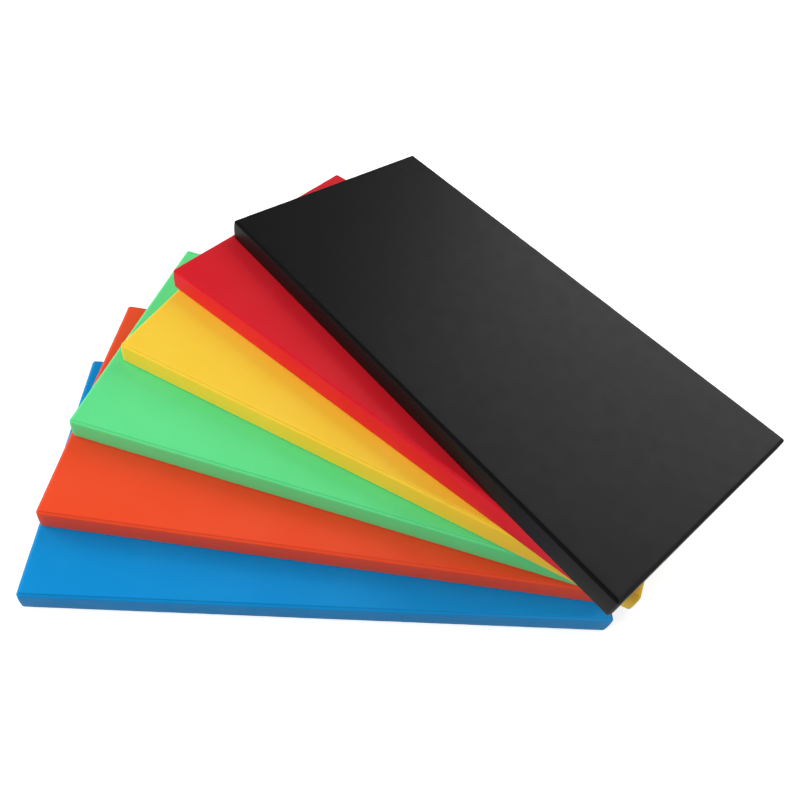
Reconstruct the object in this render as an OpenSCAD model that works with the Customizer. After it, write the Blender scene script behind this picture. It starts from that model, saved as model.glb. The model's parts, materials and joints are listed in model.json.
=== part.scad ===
// A set of crash landing mats: vinyl covers over foam cores, laid in an open fan.
// The origin is the centre of the lowest mat's underside, with its length along X and +Z up.

/* [Mat] */
// Length of a mat
mat_length = 1220; // [900:10:2000]
// Width of a mat
mat_width = 610; // [450:10:1200]
// Thickness of a mat, foam and cover together
mat_thickness = 57; // [52:1:100]
// Rounding of the top edges, where the top panel folds over
top_radius = 11; // [5:0.5:12]
// Rounding of the bottom edges
base_radius = 5; // [4:0.5:10]
// Rounding of the four upright corners
corner_radius = 8; // [4:0.5:30]

/* [Cover] */
// Thickness of the vinyl sheet
vinyl_thickness = 0.9; // [0.6:0.1:1.5]
// Depth of the seam round the top panel, below the top
seam_drop = 4; // [2:0.5:12]
// Flat strip of the side band under the mat, from its rounding to the base seam
base_margin = 1.5; // [0.5:0.5:10]
// Width of the groove that a seam draws in
seam_gap = 0.8; // [0.4:0.1:0.9]
// Rounding of the corners of the base panel
panel_corner_radius = 5; // [2:0.5:20]

/* [Zip] */
// Distance from the ends of the mat to the zip slot in its back side
slot_end = 60; // [45:5:150]
// Height of the slot in the side band
slot_height = 13; // [12.5:0.5:16]
// Width of one zip tape
tape_width = 14; // [10:0.5:16]
// Thickness of a zip tape
tape_thickness = 0.6; // [0.4:0.1:0.9]
// Length of tape sewn in past each end of the slot
tape_overlap = 8; // [4:1:20]
// Height of one half of the closed coil
coil_height = 3; // [2:0.1:3.2]
// Depth of the coil, from the tape outwards
coil_depth = 2.4; // [1.8:0.1:3.5]
// Gap between the two halves, where the slider's web runs
coil_gap = 1.6; // [1.4:0.1:2]
// Rounding of the coil's section
coil_round = 0.9; // [0.4:0.1:0.9]
// Length of the stop at each end of the coil
stop_length = 4; // [2:0.5:8]
// How far a stop stands over the coil
stop_rise = 0.5; // [0.2:0.1:1]
// Free space between a stop and the end of the slot
stop_space = 0.5; // [0.3:0.1:2]

/* [Slider] */
// Length of the slider along the zip
slider_length = 15; // [12:0.5:20]
// Height of the slider's outer plate
slider_height = 11; // [10.6:0.1:11.4]
// Height of the slider's inner plate
slider_inner_height = 8; // [6:0.5:10]
// Thickness of the slider's plates
plate_thickness = 1.5; // [1:0.1:2]
// Rounding of the plates' corners
plate_round = 3; // [1:0.5:3.5]
// Thickness of the web between the plates
web_thickness = 1; // [0.6:0.1:1]
// Running clearance of the slider
run_gap = 0.3; // [0.2:0.05:0.3]
// Distance from the parked slider to the stop
park_gap = 1; // [0.5:0.5:5]
// Length of the crown that holds the pull
crown_length = 10; // [8.5:0.5:11]
// Width of the crown
crown_width = 3; // [2:0.5:3.5]
// Thickness of the crown's wire
crown_wire = 1.4; // [1:0.1:1.8]

/* [Pull] */
// Length of the pull from its pin to its tip
pull_length = 30; // [20:1:40]
// Width of the pull
pull_width = 9; // [7.5:0.5:12]
// Thickness of the pull's tab
pull_thickness = 1.6; // [1:0.1:1.7]
// Diameter of the pull's pin, which turns under the crown
pin_diameter = 1.8; // [1.75:0.05:2.2]
// Play of the pin and the pull in the crown
pin_play = 0.35; // [0.25:0.05:0.5]
// Rounding of the pull's tip
pull_round = 2; // [1:0.5:3.5]

/* [Foam] */
// Depth of the channel behind the zip, where the foam gives way to the slider
channel_depth = 3.5; // [3:0.1:6]
// Space between the tapes and the channel's edges
channel_space = 1; // [0.5:0.5:4]

/* [Fan] */
// Space between two mats that lie on each other
stack_gap = 0.2; // [0.1:0.1:0.5]
// Turn of the orange mat from the lowest one, clockwise from above
orange_turn = 5.4; // [0:0.1:90]
// Shift of the orange mat's near right corner along X
orange_shift_x = 0; // [-200:1:200]
// Shift of the orange mat's near right corner along Y
orange_shift_y = 34; // [-200:1:200]
// Turn of the green mat from the lowest one
green_turn = 15; // [0:0.1:90]
// Shift of the green mat's near right corner along X
green_shift_x = -11; // [-200:1:200]
// Shift of the green mat's near right corner along Y
green_shift_y = 24; // [-200:1:200]
// Turn of the yellow mat from the lowest one
yellow_turn = 26.5; // [0:0.1:90]
// Shift of the yellow mat's near right corner along X
yellow_shift_x = -22; // [-200:1:200]
// Shift of the yellow mat's near right corner along Y
yellow_shift_y = -26; // [-200:1:200]
// Turn of the red mat from the lowest one
red_turn = 39.4; // [0:0.1:90]
// Shift of the red mat's near right corner along X
red_shift_x = -85; // [-200:1:200]
// Shift of the red mat's near right corner along Y
red_shift_y = -55; // [-200:1:200]
// Turn of the black mat from the lowest one
black_turn = 50.8; // [0:0.1:90]
// Shift of the black mat's near right corner along X
black_shift_x = -127; // [-200:1:200]
// Shift of the black mat's near right corner along Y
black_shift_y = -88; // [-200:1:200]

/* [Hidden] */
$fn = 64;
mat_names = ["blue", "orange", "green", "yellow", "red", "black"];
vinyl_colours = ["#228bd0", "#f05437", "#6fe796", "#fdd948", "#e02d38", "#2b2b2a"];
foam_colour = "#efe9da";
tape_colour = "#1d1d20";
coil_colour = "#26262a";
nickel_colour = "#c9c9c6";
mat_turns = [0, orange_turn, green_turn, yellow_turn, red_turn, black_turn];
mat_shifts = [
    [0, 0],
    [orange_shift_x, orange_shift_y],
    [green_shift_x, green_shift_y],
    [yellow_shift_x, yellow_shift_y],
    [red_shift_x, red_shift_y],
    [black_shift_x, black_shift_y]
];
piece_names = [
    "foam_core", "base_panel", "side_band", "top_panel",
    "zip_tapes", "zip_coils", "zip_stops", "zip_slider", "zip_pull"
];

seam_level = mat_thickness - seam_drop;
base_inset = base_radius + base_margin;
stack_pitch = mat_thickness + stack_gap;
tape_face = mat_width / 2 - vinyl_thickness;
slot_length = mat_length - 2 * slot_end;
coil_length = slot_length - 2 * (stop_length + stop_space);
coil_top = coil_gap / 2 + coil_height;
crown_base = coil_depth + run_gap + plate_thickness;
pin_centre = crown_base + pin_play + pin_diameter / 2;
crown_inside = pin_diameter + 2 * pin_play;
parked = -(coil_length - slider_length) / 2 + park_gap;
crown_reach = norm([crown_length / 2, crown_inside + crown_wire - pin_play - pin_diameter / 2]);
pull_eye = crown_reach + pin_play;
cut = 1;

// A rectangle with round corners, centred
module round_rectangle(length, width, radius) {
    square([length - 2 * radius, width], center = true);
    square([length, width - 2 * radius], center = true);
    for (x = [-1, 1], y = [-1, 1])
        translate([x * (length / 2 - radius), y * (width / 2 - radius)]) circle(radius);
}

// A section across the mat, centred, with one rounding above and another below
module mat_section(width, height, top, base) {
    translate([0, height / 4]) square([width - 2 * top, height / 2], center = true);
    translate([0, -height / 4]) square([width - 2 * base, height / 2], center = true);
    translate([0, (base - top) / 2]) square([width, height - top - base], center = true);
    for (x = [-1, 1]) {
        translate([x * (width / 2 - top), height / 2 - top]) circle(top);
        translate([x * (width / 2 - base), base - height / 2]) circle(base);
    }
}

// The mat's outer form, or one set in from it, with its edges and corners rounded
module mat_form(inset, top, base, corner) {
    l = mat_length - 2 * inset;
    w = mat_width - 2 * inset;
    h = mat_thickness - 2 * inset;
    translate([0, 0, mat_thickness / 2]) intersection() {
        rotate([90, 0, 90]) linear_extrude(l, center = true) mat_section(w, h, top, base);
        rotate([90, 0, 0]) linear_extrude(w, center = true) mat_section(l, h, top, base);
        linear_extrude(h, center = true) round_rectangle(l, w, corner);
    }
}

// The slice of the hollow cover between two levels
module cover_slice(low, high) {
    sheet = vinyl_thickness;
    intersection() {
        difference() {
            mat_form(0, top_radius, base_radius, corner_radius);
            mat_form(sheet, top_radius - sheet, base_radius - sheet, corner_radius - sheet);
        }
        translate([0, 0, (low + high) / 2])
            cube([mat_length + 2 * cut, mat_width + 2 * cut, high - low], center = true);
    }
}

// A plate as thick as the vinyl, or a little more, inside the base seam
module base_plate(inset, extra) {
    translate([0, 0, -extra]) linear_extrude(vinyl_thickness + 2 * extra)
        round_rectangle(mat_length - 2 * inset, mat_width - 2 * inset, panel_corner_radius);
}

// The middle of the closed zip, on the outer face of its tapes, with Y outwards
module at_zip() {
    translate([0, tape_face, mat_thickness / 2]) children();
}

module foam_core() {
    color(foam_colour) difference() {
        mat_form(vinyl_thickness, top_radius, base_radius, corner_radius);
        at_zip() translate([0, -channel_depth / 2, 0]) cube([
            slot_length + 2 * (tape_overlap + channel_space),
            channel_depth,
            coil_gap + 2 * (tape_width + channel_space)
        ], center = true);
    }
}

module base_panel(colour) {
    color(colour) base_plate(base_inset + seam_gap, 0);
}

module top_panel(colour) {
    color(colour) cover_slice(seam_level, mat_thickness + cut);
}

module side_band(colour) {
    color(colour) difference() {
        cover_slice(-cut, seam_level - seam_gap);
        base_plate(base_inset, cut);
        at_zip() cube([slot_length, 2 * (vinyl_thickness + cut), slot_height], center = true);
    }
}

module zip_tapes() {
    color(tape_colour) at_zip() for (side = [-1, 1])
        translate([0, -tape_thickness / 2, side * (coil_gap + tape_width) / 2])
            cube([slot_length + 2 * tape_overlap, tape_thickness, tape_width], center = true);
}

module zip_coils() {
    color(coil_colour) at_zip() for (side = [-1, 1])
        translate([0, coil_depth / 2, side * (coil_gap + coil_height) / 2])
            rotate([90, 0, 90]) linear_extrude(coil_length, center = true)
                round_rectangle(coil_depth, coil_height, coil_round);
}

module zip_stops() {
    depth = coil_depth + stop_rise;
    color(nickel_colour) at_zip() for (side = [-1, 1])
        translate([side * (coil_length + stop_length) / 2, depth / 2, 0])
            cube([stop_length, depth, 2 * coil_top], center = true);
}

// A slider plate that lies in the plane of the zip, from the given level outwards
module slider_plate(level, height) {
    translate([0, level, 0]) rotate([-90, 0, 0])
        linear_extrude(plate_thickness) round_rectangle(slider_length, height, plate_round);
}

module zip_slider() {
    inner_level = -tape_thickness - run_gap - plate_thickness;
    flange = slider_height / 2 - coil_top - run_gap;
    flange_length = slider_length - 2 * plate_round;
    web_depth = coil_depth + tape_thickness + 2 * run_gap + 2 * plate_thickness;
    color(nickel_colour) at_zip() translate([parked, 0, 0]) {
        slider_plate(inner_level, slider_inner_height);
        slider_plate(coil_depth + run_gap, slider_height);
        translate([-flange_length / 2, inner_level, -web_thickness / 2])
            cube([flange_length, web_depth, web_thickness]);
        for (side = [-1, 1])
            translate([0, (coil_depth + 2 * run_gap + plate_thickness) / 2, side * (slider_height - flange) / 2])
                cube([flange_length, coil_depth + plate_thickness, flange], center = true);
        difference() {
            translate([-crown_length / 2, crown_base - plate_thickness / 2, -crown_width / 2])
                cube([crown_length, crown_inside + crown_wire + plate_thickness / 2, crown_width]);
            translate([-crown_length / 2 + crown_wire, crown_base, -crown_width / 2 - cut])
                cube([crown_length - 2 * crown_wire, crown_inside, crown_width + 2 * cut]);
        }
    }
}

module zip_pull() {
    eye_height = crown_width + 2 * pin_play;
    color(nickel_colour) at_zip() translate([parked, pin_centre, 0]) {
        cylinder(h = pull_width, d = pin_diameter, center = true);
        rotate([90, 0, 0]) linear_extrude(pull_thickness, center = true) difference() {
            union() {
                translate([-pull_length / 2, 0]) round_rectangle(pull_length, pull_width, pull_round);
                translate([-pull_length / 4, 0]) square([pull_length / 2, pull_width], center = true);
            }
            translate([-pull_eye, -eye_height / 2]) square([pull_eye + cut, eye_height]);
        }
    }
}

// Lays a mat in the fan, turned about its near right corner, one mat higher than the last
module laid(k) {
    translate([
        mat_length / 2 + mat_shifts[k][0],
        -mat_width / 2 + mat_shifts[k][1],
        k * stack_pitch
    ]) rotate([0, 0, -mat_turns[k]]) translate([-mat_length / 2, mat_width / 2, 0]) children();
}

for (k = [0 : len(mat_names) - 1]) {
    mat = mat_names[k];
    vinyl = vinyl_colours[k];
    laid(k) foam_core();
    laid(k) base_panel(vinyl);
    laid(k) side_band(vinyl);
    laid(k) top_panel(vinyl);
    laid(k) zip_tapes();
    laid(k) zip_coils();
    laid(k) zip_stops();
    laid(k) zip_slider();
    laid(k) zip_pull();
}
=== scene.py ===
import json
import math

import bmesh
import bpy
from mathutils import Matrix, Vector, noise


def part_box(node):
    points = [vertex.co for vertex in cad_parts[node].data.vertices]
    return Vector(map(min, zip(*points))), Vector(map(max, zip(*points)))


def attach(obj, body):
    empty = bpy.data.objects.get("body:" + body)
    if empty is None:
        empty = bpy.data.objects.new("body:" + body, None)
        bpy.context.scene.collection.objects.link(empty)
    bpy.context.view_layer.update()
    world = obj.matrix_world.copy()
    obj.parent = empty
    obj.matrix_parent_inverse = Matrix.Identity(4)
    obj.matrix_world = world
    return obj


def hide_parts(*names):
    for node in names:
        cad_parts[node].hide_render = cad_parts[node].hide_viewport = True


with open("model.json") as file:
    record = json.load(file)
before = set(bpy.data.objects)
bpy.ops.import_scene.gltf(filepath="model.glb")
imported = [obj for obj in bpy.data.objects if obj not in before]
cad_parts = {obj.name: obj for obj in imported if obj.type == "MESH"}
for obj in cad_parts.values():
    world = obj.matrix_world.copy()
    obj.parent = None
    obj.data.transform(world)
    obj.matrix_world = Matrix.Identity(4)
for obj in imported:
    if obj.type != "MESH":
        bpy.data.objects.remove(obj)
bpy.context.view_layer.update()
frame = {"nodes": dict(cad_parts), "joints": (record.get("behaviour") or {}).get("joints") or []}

mm = 0.001
weldDistance = 0.01 * mm
tolerance = 0.1 * mm
matColours = ["blue", "orange", "green", "yellow", "red", "black"]  # from the floor up
slideAxes = {joint["child"]: joint["axis"] for joint in frame["joints"] if joint["type"] == "slide"}

# the lowest mat lies along X with its centre on the origin, so its boxes give every mat's own sizes
bandLow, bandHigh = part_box("blue_side_band")
matLength = bandHigh.x - bandLow.x
matWidth = bandHigh.y - bandLow.y
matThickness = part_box("blue_top_panel")[1].z - bandLow.z
tapeLow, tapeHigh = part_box("blue_zip_tapes")
coilLow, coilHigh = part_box("blue_zip_coils")
stopLow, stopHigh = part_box("blue_zip_stops")
zipMiddle = matThickness / 2


def matTurn(colour):
    axis = slideAxes[colour + "_slider"]
    return math.atan2(axis[1], axis[0])


def matPlace(colour):
    low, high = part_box(colour + "_side_band")
    middle = (low + high) / 2
    return Matrix.Translation((middle.x, middle.y, low.z)) @ Matrix.Rotation(matTurn(colour), 4, "Z")


# Camera, fitted to the corners and edges of the mats in an image of 800 by 800 pixels
cameraSettings = {
    "place": (-103.1 * mm, -886.6 * mm, 1482.3 * mm),
    "heading": 80.946,  # degrees from +X
    "pitchDown": 47.685,
    "roll": 11.328,
    "focalPixels": 715.0,
    "axisPixel": (373.6, 355.3),
    "imagePixels": 800,
    "sensor": 36.0,
    "clipEnd": 50.0,
}


def addCamera():
    data = bpy.data.cameras.new("photoCamera")
    camera = bpy.data.objects.new("photoCamera", data)
    bpy.context.scene.collection.objects.link(camera)
    heading, pitch, roll = (math.radians(cameraSettings[key]) for key in ("heading", "pitchDown", "roll"))
    forward = Vector((math.cos(heading) * math.cos(pitch), math.sin(heading) * math.cos(pitch), -math.sin(pitch)))
    level = Vector((math.sin(heading), -math.cos(heading), 0))
    upward = level.cross(forward)
    right = level * math.cos(roll) + upward * math.sin(roll)
    up = upward * math.cos(roll) - level * math.sin(roll)
    turn = Matrix((right, up, -forward)).transposed()
    camera.matrix_world = Matrix.Translation(cameraSettings["place"]) @ turn.to_4x4()
    pixels = cameraSettings["imagePixels"]
    data.sensor_width = cameraSettings["sensor"]
    data.lens = cameraSettings["focalPixels"] / pixels * cameraSettings["sensor"]
    data.shift_x = (pixels / 2 - cameraSettings["axisPixel"][0]) / pixels
    data.shift_y = (cameraSettings["axisPixel"][1] - pixels / 2) / pixels
    data.clip_end = cameraSettings["clipEnd"]
    bpy.context.scene.camera = camera


addCamera()
print("camera set")


# Materials

def linear(hexColour):
    parts = [int(hexColour[i:i + 2], 16) / 255 for i in (1, 3, 5)]
    parts = [c / 12.92 if c <= 0.04045 else ((c + 0.055) / 1.055) ** 2.4 for c in parts]
    return (*parts, 1.0)


def newMaterial(name):
    material = bpy.data.materials.new(name)
    material.use_nodes = True
    return material, material.node_tree, material.node_tree.nodes["Principled BSDF"]


def addNode(tree, kind, inputs={}, **settings):
    node = tree.nodes.new(kind)
    for name, value in settings.items():
        setattr(node, name, value)
    for name, value in inputs.items():
        if isinstance(value, bpy.types.NodeSocket):
            tree.links.new(value, node.inputs[name])
        else:
            node.inputs[name].default_value = value
    return node


# PVC-coated polyester, calendered: an even satin sheet with a fine pressed grain, the weave of its base
# cloth just telling through, soft cloudy changes of gloss, faint handling scuffs, and painted shade darkening the
# seams
vinylFinish = {
    # each colour's seam tone is painted shade, mixed in along the seams by the seamShade attribute
    "blue": {"sheet": "#088bd0", "worn": "#1c96d6", "seam": "#0b5180"},
    "orange": {"sheet": "#ed4a25", "worn": "#ef5a38", "seam": "#9c3524"},
    "green": {"sheet": "#5fdc88", "worn": "#6ee395", "seam": "#3c9a61"},
    "yellow": {"sheet": "#f3c938", "worn": "#f6d14e", "seam": "#b9922a"},
    "red": {"sheet": "#d21b27", "worn": "#d82d36", "seam": "#8e1a22"},
    "black": {"sheet": "#0d0d0d", "worn": "#111111", "seam": "#060606"},
    "cloud": 170 * mm,
    "gloss": 35 * mm,
    "grain": 1.8 * mm,  # pressed grain is about 0.6 mm, drawn coarser to show
    "thread": 2.4 * mm,  # base cloth is about 1.1 mm a thread, drawn coarser to show
    "scuffLength": 260 * mm,
    "scuffWidth": 7 * mm,
    "scuffSlant": 0.5,
    "cloudWear": 0.4,
    "scuffWear": 0.3,
    "roughness": (0.43, 0.49),
    "scuffRoughness": 0.25,
    "ior": 1.53,
    "specular": 0.18,
    "relief": 0.06 * mm,
    "grainStrength": 0.25,
    "weaveStrength": 0.15,
}
wavePeriod = 0.314159  # a Wave texture of scale 1 repeats after this many metres


def vinylMaterial(colour):
    tint = vinylFinish[colour]
    material, tree, shader = newMaterial(colour + "Vinyl")
    place = addNode(tree, "ShaderNodeTexCoord").outputs["Object"]
    along = addNode(tree, "ShaderNodeMapping", {"Vector": place, "Rotation": (0, 0, -matTurn(colour))}).outputs[0]
    cloud = addNode(tree, "ShaderNodeTexNoise", {
        "Vector": along, "Scale": 1 / vinylFinish["cloud"], "Detail": 3.0, "Roughness": 0.55}).outputs[0]
    cloudy = addNode(tree, "ShaderNodeMapRange", {
        "Value": cloud, "From Min": 0.35, "From Max": 0.75, "To Max": vinylFinish["cloudWear"]}).outputs[0]
    streaks = addNode(tree, "ShaderNodeMapping", {
        "Vector": along, "Rotation": (0, 0, vinylFinish["scuffSlant"]),
        "Scale": (1 / vinylFinish["scuffLength"], 1 / vinylFinish["scuffWidth"], 1 / vinylFinish["scuffWidth"])})
    scuff = addNode(tree, "ShaderNodeTexNoise", {
        "Vector": streaks.outputs[0], "Scale": 1.0, "Detail": 4.0, "Roughness": 0.6}).outputs[0]
    scuffed = addNode(tree, "ShaderNodeMapRange", {
        "Value": scuff, "From Min": 0.62, "From Max": 0.8, "To Max": vinylFinish["scuffWear"]}).outputs[0]
    wear = addNode(tree, "ShaderNodeMath", {0: cloudy, 1: scuffed}, operation="ADD", use_clamp=True).outputs[0]
    sheet = addNode(tree, "ShaderNodeMix", {
        0: wear, 6: linear(tint["sheet"]), 7: linear(tint["worn"])}, data_type="RGBA").outputs[2]
    # painted shade: the seam tone darkens the sheet along the seams, standing in for the shade in their grooves
    paintedSeamShade = addNode(tree, "ShaderNodeAttribute", attribute_name="seamShade").outputs["Fac"]
    coloured = addNode(tree, "ShaderNodeMix", {0: paintedSeamShade, 6: sheet, 7: linear(tint["seam"])}, data_type="RGBA")
    tree.links.new(coloured.outputs[2], shader.inputs["Base Color"])

    sheen = addNode(tree, "ShaderNodeTexNoise", {
        "Vector": along, "Scale": 1 / vinylFinish["gloss"], "Detail": 4.0, "Roughness": 0.6}).outputs[0]
    smoothest, roughest = vinylFinish["roughness"]
    rough = addNode(tree, "ShaderNodeMapRange", {
        "Value": sheen, "From Min": 0.3, "From Max": 0.7, "To Min": smoothest, "To Max": roughest}).outputs[0]
    rougher = addNode(tree, "ShaderNodeMath", {
        0: scuffed, 1: vinylFinish["scuffRoughness"], 2: rough}, operation="MULTIPLY_ADD").outputs[0]
    tree.links.new(rougher, shader.inputs["Roughness"])
    shader.inputs["IOR"].default_value = vinylFinish["ior"]
    shader.inputs["Specular IOR Level"].default_value = vinylFinish["specular"]

    grain = addNode(tree, "ShaderNodeTexVoronoi", {
        "Vector": along, "Scale": 1 / vinylFinish["grain"]}, feature="SMOOTH_F1").outputs["Distance"]
    grainBump = addNode(tree, "ShaderNodeBump", {
        "Height": grain, "Strength": vinylFinish["grainStrength"], "Distance": vinylFinish["relief"]}).outputs[0]
    warp = addNode(tree, "ShaderNodeTexWave", {
        "Vector": along, "Scale": wavePeriod / vinylFinish["thread"]}, bands_direction="X").outputs["Fac"]
    weft = addNode(tree, "ShaderNodeTexWave", {
        "Vector": along, "Scale": wavePeriod / vinylFinish["thread"]}, bands_direction="Y").outputs["Fac"]
    weave = addNode(tree, "ShaderNodeMath", {0: warp, 1: weft}, operation="MULTIPLY").outputs[0]
    weaveBump = addNode(tree, "ShaderNodeBump", {
        "Height": weave, "Strength": vinylFinish["weaveStrength"], "Distance": vinylFinish["relief"],
        "Normal": grainBump}).outputs[0]
    tree.links.new(weaveBump, shader.inputs["Normal"])
    return material


# Polyurethane foam, cut from a block: open cells of about a millimetre, matt and pale, the cells' hollows painted
# darker as painted shade
foamFinish = {"foam": "#efe9da", "cell": "#d9d0bb", "cellSize": 1.6 * mm, "relief": 0.4 * mm, "roughness": 0.9}


def foamMaterial():
    material, tree, shader = newMaterial("cutFoam")
    place = addNode(tree, "ShaderNodeTexCoord").outputs["Object"]
    cells = addNode(tree, "ShaderNodeTexVoronoi", {
        "Vector": place, "Scale": 1 / foamFinish["cellSize"]}).outputs["Distance"]
    # painted shade: the cell tone darkens the hollows of the cells, where the bump sinks
    tone = addNode(tree, "ShaderNodeMix", {
        0: cells, 6: linear(foamFinish["cell"]), 7: linear(foamFinish["foam"])}, data_type="RGBA").outputs[2]
    tree.links.new(tone, shader.inputs["Base Color"])
    pits = addNode(tree, "ShaderNodeBump", {
        "Height": cells, "Strength": 0.6, "Distance": foamFinish["relief"]}).outputs[0]
    tree.links.new(pits, shader.inputs["Normal"])
    shader.inputs["Roughness"].default_value = foamFinish["roughness"]
    return material


# Woven polyester zip tape: a tight herringbone of dull dark yarn, its raised yarn painted lighter as a painted
# highlight
tapeFinish = {
    "yarn": "#1d1d20", "lit": "#303035", "rib": 1.2 * mm, "relief": 0.2 * mm, "roughness": 0.85, "sheen": 0.2}


def tapeMaterial(colour):
    material, tree, shader = newMaterial(colour + "ZipTape")
    place = addNode(tree, "ShaderNodeTexCoord").outputs["Object"]
    along = addNode(tree, "ShaderNodeMapping", {"Vector": place, "Rotation": (0, 0, -matTurn(colour))}).outputs[0]
    ribs = addNode(tree, "ShaderNodeTexWave", {
        "Vector": along, "Scale": wavePeriod / tapeFinish["rib"]}, bands_direction="X").outputs["Fac"]
    rows = addNode(tree, "ShaderNodeTexWave", {
        "Vector": along, "Scale": wavePeriod / tapeFinish["rib"]}, bands_direction="Z").outputs["Fac"]
    yarn = addNode(tree, "ShaderNodeMath", {0: ribs, 1: rows}, operation="MULTIPLY").outputs[0]
    # painted highlight: the lit tone brightens the raised yarn, following the bump
    tone = addNode(tree, "ShaderNodeMix", {
        0: yarn, 6: linear(tapeFinish["yarn"]), 7: linear(tapeFinish["lit"])}, data_type="RGBA").outputs[2]
    tree.links.new(tone, shader.inputs["Base Color"])
    raised = addNode(tree, "ShaderNodeBump", {
        "Height": yarn, "Strength": 0.6, "Distance": tapeFinish["relief"]}).outputs[0]
    tree.links.new(raised, shader.inputs["Normal"])
    shader.inputs["Roughness"].default_value = tapeFinish["roughness"]
    shader.inputs["Sheen Weight"].default_value = tapeFinish["sheen"]
    return material


# Nylon monofilament and sewing thread share a soft plastic gloss, with small changes from bar to bar
nylonFinish = {
    "coil": ("#232327", "#34343a", 0.38),  # dark, light and roughness
    "thread": ("#17171a", "#2c2c31", 0.6),
    "change": 9 * mm,
}


def nylonMaterial(name):
    dark, light, rough = nylonFinish[name]
    material, tree, shader = newMaterial(name + "Nylon")
    place = addNode(tree, "ShaderNodeTexCoord").outputs["Object"]
    change = addNode(tree, "ShaderNodeTexNoise", {
        "Vector": place, "Scale": 1 / nylonFinish["change"]}).outputs[0]
    tone = addNode(tree, "ShaderNodeMix", {
        0: change, 6: linear(dark), 7: linear(light)}, data_type="RGBA").outputs[2]
    tree.links.new(tone, shader.inputs["Base Color"])
    shader.inputs["Roughness"].default_value = rough
    return material


# Nickel-plated zinc, die cast and tumbled: soft bright metal with fine rub marks and duller patches
nickelFinish = {
    "bright": "#cfcdc8", "dull": "#a9a7a2", "patch": 6 * mm, "rub": 0.5 * mm, "roughness": (0.22, 0.4)}


def nickelMaterial():
    material, tree, shader = newMaterial("nickelPlate")
    place = addNode(tree, "ShaderNodeTexCoord").outputs["Object"]
    patch = addNode(tree, "ShaderNodeTexNoise", {
        "Vector": place, "Scale": 1 / nickelFinish["patch"]}).outputs[0]
    tone = addNode(tree, "ShaderNodeMix", {
        0: patch, 6: linear(nickelFinish["bright"]), 7: linear(nickelFinish["dull"])}, data_type="RGBA").outputs[2]
    tree.links.new(tone, shader.inputs["Base Color"])
    rub = addNode(tree, "ShaderNodeTexNoise", {
        "Vector": place, "Scale": 1 / nickelFinish["rub"], "Detail": 2.0}).outputs[0]
    smoothest, roughest = nickelFinish["roughness"]
    rough = addNode(tree, "ShaderNodeMapRange", {
        "Value": rub, "To Min": smoothest, "To Max": roughest}).outputs[0]
    tree.links.new(rough, shader.inputs["Roughness"])
    shader.inputs["Metallic"].default_value = 1.0
    return material


vinyls = {colour: vinylMaterial(colour) for colour in matColours}
tapes = {colour: tapeMaterial(colour) for colour in matColours}
foam = foamMaterial()
coilNylon = nylonMaterial("coil")
threadNylon = nylonMaterial("thread")
nickel = nickelMaterial()
print("materials made")


# Shared steps of the pieces

def finishPiece(name, bm, place, material, body, slot, *replaced):
    bmesh.ops.transform(bm, matrix=place, verts=bm.verts)
    mesh = bpy.data.meshes.new(name)
    bm.to_mesh(mesh)
    bm.free()
    mesh.shade_smooth()
    mesh.materials.append(material)
    piece = bpy.data.objects.new(name, mesh)
    bpy.context.scene.collection.objects.link(piece)
    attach(piece, body)
    if replaced:
        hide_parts(*replaced)
    return piece


def thicken(piece, thickness):
    wall = piece.modifiers.new("sheetThickness", "SOLIDIFY")
    wall.thickness = thickness
    wall.offset = -1


def extrudeVert(bm, vert, step):
    made = bmesh.ops.extrude_vert_indiv(bm, verts=[vert])["verts"]
    bmesh.ops.translate(bm, verts=made, vec=step)
    return made[0]


def pullEdges(bm, edges, step):
    made = bmesh.ops.extrude_edge_only(bm, edges=edges)["geom"]
    verts = [part for part in made if isinstance(part, bmesh.types.BMVert)]
    bmesh.ops.translate(bm, verts=verts, vec=step)
    return edgesAmong(bm, verts)


def edgesAmong(bm, verts):
    chosen = set(verts)
    return [edge for edge in bm.edges if edge.verts[0] in chosen and edge.verts[1] in chosen]


def repeatAlongX(bm, pitch, doublings):
    for power in range(doublings):
        copied = bmesh.ops.duplicate(bm, geom=bm.verts[:] + bm.edges[:] + bm.faces[:])["geom"]
        verts = [part for part in copied if isinstance(part, bmesh.types.BMVert)]
        bmesh.ops.translate(bm, verts=verts, vec=(pitch * 2 ** power, 0, 0))


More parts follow.
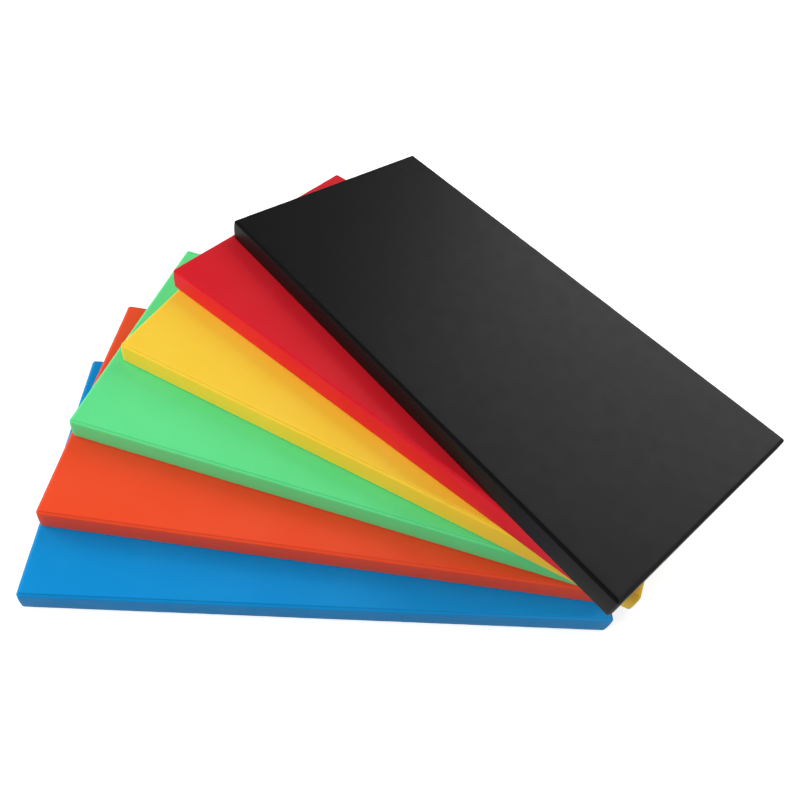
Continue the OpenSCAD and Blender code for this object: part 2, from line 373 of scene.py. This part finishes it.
# Cover: a flat top panel sewn near the upper edges to a side band, which slopes out from that seam, runs
# down the sides and turns under to the base panel; both seams are drawn in and puckered by the thread
coverShape = {
    "sheet": 0.9 * mm,
    "cornerRadius": 7 * mm,
    "cornerSteps": 6,
    "topRadius": 4.5 * mm,
    "topReach": 0.96,  # of that radius, at most
    "topCornerPower": 4,
    "shoulderStart": 8.0 * mm,  # in from the outer sides
    "shoulderEnd": 5.0 * mm,
    "topSteps": 5,
    "topTuck": ((-0.1, -0.3), (0.2, -0.4), (0.5, -0.4), (0.9, -0.2)),  # steps into the seam, inwards and up, in mm
    "seamDrop": 2.2 * mm,  # the seam, below the top
    "seamDepth": 5.6 * mm,
    "slopeSteps": ((-1.0, 0.0), (-0.9, -0.3), (-1.0, -0.55), (-0.9, -0.52), (-0.7, -0.4)),  # out from the seam, in mm
    "slopeTilt": math.radians(30),
    "slopeRound": 3.5 * mm,  # from the slope to the upright side
    "slopeRoundSteps": 6,
    "shoulderHeight": 7.6 * mm,
    "sideRows": 6,
    "baseRadius": 5 * mm,
    "baseSteps": 4,
    "baseTuck": ((1.0, 0.1), (0.6, 0.6), (0.3, 0.7)),
    "baseSeamInset": 7 * mm,
    "baseSeamGap": 0.3 * mm,
    "columnStep": 8 * mm,
    "sideBulge": 0.8 * mm,
    "pucker": 0.6 * mm,
    "puckerSize": 17 * mm,
    "puckerReach": 14 * mm,
    "puckerOut": 0.1 * mm,  # outwards at most
    "puckerSeed": Vector((31.7, 11.3, 0)),
    "slack": 0.7 * mm,  # depth of the panels' slow waves
    "slackSize": 210 * mm,
    "slackFrom": 20 * mm,
    "slackSeed": Vector((7.1, 0, 1)),
    # strength and reach of the painted shade along the seams
    "seamShade": 0.3,
    "seamShadeReach": 1.3 * mm,
    "slotSpace": 0.5 * mm,  # beyond the zip's stops
    "slotHeight": 13 * mm,
    "hemDepth": 0.3 * mm,  # clear of the tape's face
    "flatBeyondTape": (6 * mm, 0.5 * mm),
}


def insetOf(point):
    return min(matLength / 2 - abs(point.x), matWidth / 2 - abs(point.y))


def seamDistance(point):
    inset = insetOf(point)
    upper = math.hypot(inset - coverShape["seamDepth"], point.z - matThickness + coverShape["seamDrop"])
    return min(upper, math.hypot(inset - coverShape["baseSeamInset"], point.z))


def sewDetail(bm, seed):
    shade = bm.verts.layers.float.new("seamShade")
    bm.normal_update()
    for vert in bm.verts:
        reach = seamDistance(vert.co)
        # seamShade is painted shade, darkest on the top and base seam lines
        vert[shade] = coverShape["seamShade"] * math.exp(-(reach / coverShape["seamShadeReach"]) ** 2)
        spot = vert.co / coverShape["puckerSize"] + seed * coverShape["puckerSeed"]
        pull = noise.noise(spot) * coverShape["pucker"] * math.exp(-reach / coverShape["puckerReach"])
        vert.co += vert.normal * min(pull, coverShape["puckerOut"])


def spinVert(bm, vert, centre, angle, steps):
    turned = bmesh.ops.spin(bm, geom=[vert], cent=centre, axis=(1, 0, 0), angle=angle, steps=steps)["geom_last"]
    return [part for part in turned if isinstance(part, bmesh.types.BMVert)][0]


# the band's profile is drawn with Y inwards from the outer side and Z up from the floor

def bandProfile(bm, startX):
    vert = bm.verts.new((startX, coverShape["seamDepth"], matThickness - coverShape["seamDrop"]))
    for inwards, rise in coverShape["slopeSteps"]:
        vert = extrudeVert(bm, vert, (0, inwards * mm, rise * mm))
    tilt = coverShape["slopeTilt"]
    curve = coverShape["slopeRound"]
    centre = (startX, vert.co.y + curve * math.sin(tilt), vert.co.z - curve * math.cos(tilt))
    vert = spinVert(bm, vert, centre, math.pi / 2 - tilt, coverShape["slopeRoundSteps"])
    bmesh.ops.translate(bm, verts=bm.verts, vec=(0, -vert.co.y, 0))
    radius = coverShape["baseRadius"]
    rows = coverShape["sideRows"]
    fall = vert.co.z - radius
    for row in range(rows):
        vert = extrudeVert(bm, vert, (0, 0, -fall / rows))
    vert = spinVert(bm, vert, (startX, radius, radius), math.pi / 2, coverShape["baseSteps"])
    for inwards, rise in coverShape["baseTuck"]:
        vert = extrudeVert(bm, vert, (0, inwards * mm, rise * mm))


def sweepBand():
    bm = bmesh.new()
    corner = coverShape["cornerRadius"]
    endX = matLength / 2 - corner
    endY = matWidth / 2 - corner
    bandProfile(bm, -endX)
    bmesh.ops.translate(bm, verts=bm.verts, vec=(0, -matWidth / 2, 0))
    edges = bm.edges[:]
    runs = (((2 * endX, 0, 0), (endX, -endY, 0)), ((0, 2 * endY, 0), (endX, endY, 0)),
            ((-2 * endX, 0, 0), (-endX, endY, 0)), ((0, -2 * endY, 0), (-endX, -endY, 0)))
    for step, centre in runs:
        edges = pullEdges(bm, edges, step)
        verts = list({vert for edge in edges for vert in edge.verts})
        turned = bmesh.ops.spin(
            bm, geom=verts + edges, cent=centre, axis=(0, 0, 1), angle=math.pi / 2,
            steps=coverShape["cornerSteps"])["geom_last"]
        edges = [part for part in turned if isinstance(part, bmesh.types.BMEdge)]
    bmesh.ops.remove_doubles(bm, verts=bm.verts, dist=weldDistance)
    for reach in (2 * endX, 2 * endY):
        long = [edge for edge in bm.edges if abs(edge.calc_length() - reach) < tolerance]
        cuts = round(reach / coverShape["columnStep"]) - 1
        bmesh.ops.subdivide_edges(bm, edges=long, cuts=cuts, use_grid_fill=True)
    return bm


def faceOutwards(bm):
    bmesh.ops.recalc_face_normals(bm, faces=bm.faces)
    front = min(bm.faces, key=lambda face: face.calc_center_median().y)
    if front.normal.y > 0:
        bmesh.ops.reverse_faces(bm, faces=bm.faces)


def edgeSpacing(size):
    rows = coverShape["topSteps"]
    reach = coverShape["shoulderStart"] - coverShape["shoulderEnd"]
    spots = [coverShape["shoulderEnd"] + reach * (row / rows) for row in range(rows)]
    middle = size - 2 * coverShape["shoulderStart"]
    columns = round(middle / coverShape["columnStep"])
    inner = [coverShape["shoulderStart"] + middle * column / columns for column in range(columns + 1)]
    return [spot - size / 2 for spot in spots + inner] + [size / 2 - spot for spot in reversed(spots)]


def shoulderDrop(insetX, insetY):
    start = coverShape["shoulderStart"]
    power = coverShape["topCornerPower"]
    over = (max(0.0, start - insetX) ** power + max(0.0, start - insetY) ** power) ** (1 / power)
    radius = coverShape["topRadius"]
    return radius - math.sqrt(radius ** 2 - min(over, coverShape["topReach"] * radius) ** 2)


def outwardOf(point):
    corner = coverShape["cornerRadius"]
    pastX = max(0.0, abs(point.x) - matLength / 2 + corner)
    pastY = max(0.0, abs(point.y) - matWidth / 2 + corner)
    return Vector((math.copysign(pastX, point.x), math.copysign(pastY, point.y), 0)).normalized()


def topMesh():
    bm = bmesh.new()
    columns = edgeSpacing(matLength)
    rows = edgeSpacing(matWidth)
    bmesh.ops.create_grid(bm, x_segments=len(columns) - 1, y_segments=len(rows) - 1, size=1)
    corner = coverShape["cornerRadius"]
    for vert in bm.verts:
        x = columns[round((vert.co.x + 1) / 2 * (len(columns) - 1))]
        y = rows[round((vert.co.y + 1) / 2 * (len(rows) - 1))]
        insetX = matLength / 2 - abs(x)
        insetY = matWidth / 2 - abs(y)
        z = matThickness - shoulderDrop(insetX, insetY)
        if insetX < corner and insetY < corner:
            ring = (corner - min(insetX, insetY)) / math.hypot(corner - insetX, corner - insetY)
            x = math.copysign(matLength / 2 - corner + (corner - insetX) * ring, x)
            y = math.copysign(matWidth / 2 - corner + (corner - insetY) * ring, y)
        vert.co = (x, y, z)
    edges = [edge for edge in bm.edges if edge.is_boundary]
    for inwards, rise in coverShape["topTuck"]:
        edges = pullEdges(bm, edges, (0, 0, rise * mm))
        for vert in {vert for edge in edges for vert in edge.verts}:
            vert.co -= outwardOf(vert.co) * inwards * mm
    return bm


def bandMesh():
    bm = sweepBand()
    faceOutwards(bm)
    flattenBack(bm)
    cutZipSlot(bm)
    swellSides(bm)
    return bm


def flattenBack(bm):
    endX = tapeHigh.x + coverShape["flatBeyondTape"][0]
    top = tapeHigh.z + coverShape["flatBeyondTape"][1]
    for vert in bm.verts:
        behindTape = abs(vert.co.x) < endX and vert.co.y > matWidth / 2 - coverShape["slopeRound"]
        if behindTape and coverShape["baseRadius"] < vert.co.z < top:
            vert.co.y = matWidth / 2
    bm.normal_update()


def cutZipSlot(bm):
    endX = stopHigh.x + coverShape["slotSpace"]
    halfHeight = coverShape["slotHeight"] / 2
    back = matWidth / 2 - 0.5 * mm
    planes = [((side * endX, 0, 0), (1, 0, 0)) for side in (-1, 1)]
    planes += [((0, 0, zipMiddle + side * halfHeight), (0, 0, 1)) for side in (-1, 1)]
    for spot, normal in planes:
        faces = [face for face in bm.faces if face.normal.y > 0.9 and face.calc_center_median().y > back]
        edges = list({edge for face in faces for edge in face.edges})
        verts = list({vert for face in faces for vert in face.verts})
        bmesh.ops.bisect_plane(bm, geom=verts + edges + faces, plane_co=spot, plane_no=normal, dist=weldDistance)
    inside = []
    for face in bm.faces:
        middle = face.calc_center_median()
        if middle.y > back and abs(middle.x) < endX and abs(middle.z - zipMiddle) < halfHeight:
            inside.append(face)
    rim = list({edge for face in inside for edge in face.edges
                if any(other not in inside for other in edge.link_faces)})
    bmesh.ops.delete(bm, geom=inside, context="FACES")
    hem = [part for part in bmesh.ops.extrude_edge_only(bm, edges=rim)["geom"]
           if isinstance(part, bmesh.types.BMVert)]
    for vert in hem:
        vert.co.y = tapeHigh.y + coverShape["hemDepth"]


def swellSides(bm):
    low = coverShape["baseRadius"]
    high = matThickness - coverShape["shoulderHeight"]
    for vert in bm.verts:
        level = (vert.co.z - low) / (high - low)
        if 0 < level < 1 and vert.co.y < matWidth / 2 - coverShape["cornerRadius"]:
            outward = Vector((vert.normal.x, vert.normal.y, 0))
            vert.co += outward * coverShape["sideBulge"] * math.sin(level * math.pi)


def baseMesh():
    bm = bmesh.new()
    setIn = coverShape["baseSeamInset"] + coverShape["baseSeamGap"]
    length = matLength - 2 * setIn
    width = matWidth - 2 * setIn
    step = 2 * coverShape["columnStep"]
    bmesh.ops.create_grid(bm, x_segments=round(length / step), y_segments=round(width / step), size=0.5)
    bmesh.ops.scale(bm, vec=(length, width, 1), verts=bm.verts)
    rise = sum(up for inwards, up in coverShape["baseTuck"]) * mm
    ring = setIn
    rings = [(ring, rise)]
    inner = bm.faces[:]
    for inwards, up in reversed(coverShape["baseTuck"]):
        bmesh.ops.inset_region(bm, faces=inner, thickness=inwards * mm, use_boundary=True, use_even_offset=True)
        ring += inwards * mm
        rise -= up * mm
        rings.append((ring, rise))
    for vert in bm.verts:
        inset = insetOf(vert.co)
        for ring, rise in rings:
            if abs(inset - ring) < tolerance:
                vert.co.z = rise
    bmesh.ops.reverse_faces(bm, faces=bm.faces)
    return bm


def slackenPanel(bm, seed):
    for vert in bm.verts:
        ease = min(1.0, max(0.0, (insetOf(vert.co) - coverShape["slackFrom"]) / coverShape["slackSize"]))
        spot = Vector((vert.co.x, vert.co.y, 0)) / coverShape["slackSize"]
        wave = noise.noise(spot + seed * coverShape["slackSeed"])
        vert.co.z -= ease * coverShape["slack"] * (0.5 + 0.5 * wave)


bandForm = bandMesh()
topForm = topMesh()
baseForm = baseMesh()
for form in (bandForm, topForm, baseForm):
    print("cover form of", len(form.faces), "faces,", sum(edge.is_boundary for edge in form.edges), "open edges")


def addCover(colour, seed):
    body = colour + "_mat"
    slot = colour + "_vinyl"
    place = matPlace(colour)
    for part, form, node in (("SideBand", bandForm, "_side_band"), ("TopPanel", topForm, "_top_panel"),
                             ("BasePanel", baseForm, "_base_panel")):
        bm = form.copy()
        if part == "TopPanel":
            slackenPanel(bm, seed)
        sewDetail(bm, seed + len(part))
        piece = finishPiece(colour + part, bm, place, vinyls[colour], body, slot, colour + node)
        thicken(piece, coverShape["sheet"])


# Foam core, one slab with softened edges, just inside the cover
foamShape = {
    "sideSpace": 6.0 * mm, "space": 2.6 * mm, "edge": 11 * mm, "edgeSteps": 4, "corner": 14 * mm, "cornerSteps": 5}


def addFoam(colour):
    bm = bmesh.new()
    bmesh.ops.create_cube(bm, size=1)
    side = foamShape["sideSpace"]
    size = (matLength - 2 * side, matWidth - 2 * side, matThickness - 2 * foamShape["space"])
    bmesh.ops.scale(bm, vec=size, verts=bm.verts)
    bmesh.ops.translate(bm, verts=bm.verts, vec=(0, 0, matThickness / 2))
    upright = [edge for edge in bm.edges if abs(edge.verts[0].co.z - edge.verts[1].co.z) > tolerance]
    bmesh.ops.bevel(
        bm, geom=upright, offset=foamShape["corner"], affect="EDGES", segments=foamShape["cornerSteps"], profile=0.5,
        material=-1)
    level = [edge for edge in bm.edges if abs(edge.verts[0].co.z - edge.verts[1].co.z) < tolerance]
    bmesh.ops.bevel(
        bm, geom=level, offset=foamShape["edge"], affect="EDGES", segments=foamShape["edgeSteps"], profile=0.5,
        material=-1)
    piece = finishPiece(
        colour + "FoamCore", bm, matPlace(colour), foam, colour + "_mat", "foam", colour + "_foam_core")


# Zip: nylon coil seen as rows of bars that mesh across the middle, and a row of stitches beside the slot
coilShape = {"bar": 1.1 * mm, "overlap": 0.9 * mm, "bevel": 0.3 * mm, "doublings": 9}
stitchShape = {"length": 3.4 * mm, "thick": 0.8 * mm, "fromSlot": 3.2 * mm, "doublings": 8}


def coilMesh():
    bm = bmesh.new()
    pitch = (coilHigh.x - coilLow.x) / 2 ** coilShape["doublings"]
    tall = coilHigh.z - zipMiddle + coilShape["overlap"]
    deep = coilHigh.y - coilLow.y
    for side in (-1, 1):
        made = bmesh.ops.create_cube(bm, size=1)["verts"]
        bmesh.ops.scale(bm, vec=(coilShape["bar"], deep, tall), verts=made)
        startX = coilLow.x + pitch * (0.5 + 0.25 * side)
        spot = (startX, (coilLow.y + coilHigh.y) / 2, zipMiddle + side * (tall / 2 - coilShape["overlap"]))
        bmesh.ops.translate(bm, verts=made, vec=spot)
    bmesh.ops.bevel(
        bm, geom=bm.edges, offset=coilShape["bevel"], affect="EDGES", segments=1, profile=0.5, material=-1)
    repeatAlongX(bm, pitch, coilShape["doublings"])
    return bm


def stitchMesh():
    bm = bmesh.new()
    pitch = (stopHigh.x - stopLow.x) / 2 ** stitchShape["doublings"]
    away = coverShape["slotHeight"] / 2 + stitchShape["fromSlot"]
    for side in (-1, 1):
        made = bmesh.ops.create_icosphere(bm, subdivisions=1, radius=0.5)["verts"]
        size = (stitchShape["length"], stitchShape["thick"], stitchShape["thick"])
        bmesh.ops.scale(bm, vec=size, verts=made)
        spot = (stopLow.x + pitch / 2, bandHigh.y, zipMiddle + side * away)
        bmesh.ops.translate(bm, verts=made, vec=spot)
    repeatAlongX(bm, pitch, stitchShape["doublings"])
    return bm


coilForm = coilMesh()
stitchForm = stitchMesh()


# Slider, pull and stops keep their solids' shapes, with the sharp edges tumbled off
metalEdge = {
    "zip_slider": 0.3 * mm,
    "zip_pull": 0.35 * mm,
    "zip_stops": 0.5 * mm,
    "weld": 0.001 * mm,
    "flatAngle": math.radians(1),
    "sharpAngle": math.radians(40),
    "steps": 2,
}


def addMetal(colour, part, body):
    node = colour + "_" + part
    bm = bmesh.new()
    bm.from_mesh(frame["nodes"][node].data)
    bmesh.ops.remove_doubles(bm, verts=bm.verts, dist=metalEdge["weld"])
    bmesh.ops.dissolve_limit(bm, angle_limit=metalEdge["flatAngle"], verts=bm.verts, edges=bm.edges)
    name = colour + "".join(word.capitalize() for word in part.split("_"))
    piece = finishPiece(name, bm, Matrix.Identity(4), nickel, body, "nickel", node)
    tumbled = piece.modifiers.new("tumbledEdges", "BEVEL")
    tumbled.width = metalEdge[part]
    tumbled.segments = metalEdge["steps"]
    tumbled.limit_method = "ANGLE"
    tumbled.angle_limit = metalEdge["sharpAngle"]
    tumbled.harden_normals = True


def addZip(colour):
    body = colour + "_mat"
    place = matPlace(colour)
    finishPiece(colour + "ZipCoils", coilForm.copy(), place, coilNylon, body, "zip_coil", colour + "_zip_coils")
    finishPiece(colour + "ZipStitches", stitchForm.copy(), place, threadNylon, body, "zip_tape")
    addMetal(colour, "zip_stops", body)
    addMetal(colour, "zip_slider", colour + "_slider")
    addMetal(colour, "zip_pull", colour + "_pull")
    tapeData = frame["nodes"][colour + "_zip_tapes"].data
    tapeData.materials.clear()
    tapeData.materials.append(tapes[colour])


for seed, colour in enumerate(matColours):
    addCover(colour, seed)
    addFoam(colour)
    addZip(colour)
    print(colour, "mat made")
for form in (bandForm, topForm, baseForm, coilForm, stitchForm):
    form.free()


# Floor and light: a white floor for the camera that throws less light back up than white would
stageSettings = {
    "floorSize": 14.0,
    "floorSeen": "#fcfcfb",
    "floorBounce": "#70706e",
    "floorLift": 0.45,
    "world": ("#f6f8ff", 0.2),
    "lamps": {
        "backPanel": {"place": (2.6, 2.5, 2.8), "aim": (0.5, 0.2, 0.3), "size": (4.0, 4.0), "power": 114.0},
        "leftWindow": {  # lights the mats, with no reflection of its own in their sheen
            "place": (-5.5, -0.5, 2.9), "aim": (0.0, 0.0, 0.2), "size": (9.0, 4.6), "power": 575.0,
            "mirrored": False},
        "rightFill": {"place": (3.2, -2.6, 2.6), "aim": (0.4, -0.3, 0.1), "size": (3.0, 2.4), "power": 60.0},
    },
}


def addStage():
    bm = bmesh.new()
    bmesh.ops.create_grid(bm, x_segments=1, y_segments=1, size=stageSettings["floorSize"] / 2)
    mesh = bpy.data.meshes.new("studioFloor")
    bm.to_mesh(mesh)
    bm.free()
    material, tree, shader = newMaterial("paleFloor")
    path = addNode(tree, "ShaderNodeLightPath").outputs
    mirrored = addNode(tree, "ShaderNodeMath", {
        0: path["Is Glossy Ray"], 1: path["Is Transmission Ray"]}, operation="ADD").outputs[0]
    seen = addNode(tree, "ShaderNodeMath", {
        0: path["Is Camera Ray"], 1: mirrored}, operation="ADD", use_clamp=True).outputs[0]
    tone = addNode(tree, "ShaderNodeMix", {
        0: seen, 6: linear(stageSettings["floorBounce"]), 7: linear(stageSettings["floorSeen"])}, data_type="RGBA")
    tree.links.new(tone.outputs[2], shader.inputs["Base Color"])
    lift = addNode(tree, "ShaderNodeMath", {
        0: path["Is Camera Ray"], 1: stageSettings["floorLift"]}, operation="MULTIPLY").outputs[0]
    tree.links.new(lift, shader.inputs["Emission Strength"])
    shader.inputs["Emission Color"].default_value = (1, 1, 1, 1)
    shader.inputs["Roughness"].default_value = 0.9
    mesh.materials.append(material)
    floor = bpy.data.objects.new("studioFloor", mesh)
    bpy.context.scene.collection.objects.link(floor)


def addLights():
    world = bpy.data.worlds.new("studioWorld")
    world.use_nodes = True
    colour, strength = stageSettings["world"]
    background = world.node_tree.nodes["Background"]
    background.inputs["Color"].default_value = linear(colour)
    background.inputs["Strength"].default_value = strength
    bpy.context.scene.world = world
    for name, lamp in stageSettings["lamps"].items():
        data = bpy.data.lights.new(name, "AREA")
        data.shape = "RECTANGLE"
        data.size, data.size_y = lamp["size"]
        data.energy = lamp["power"]
        light = bpy.data.objects.new(name, data)
        light.location = lamp["place"]
        aim = Vector(lamp["aim"]) - Vector(lamp["place"])
        light.rotation_euler = aim.to_track_quat("-Z", "Y").to_euler()
        light.visible_glossy = lamp.get("mirrored", True)
        bpy.context.scene.collection.objects.link(light)


addStage()
addLights()
bpy.context.scene.view_settings.view_transform = "Standard"
print("floor and light set")
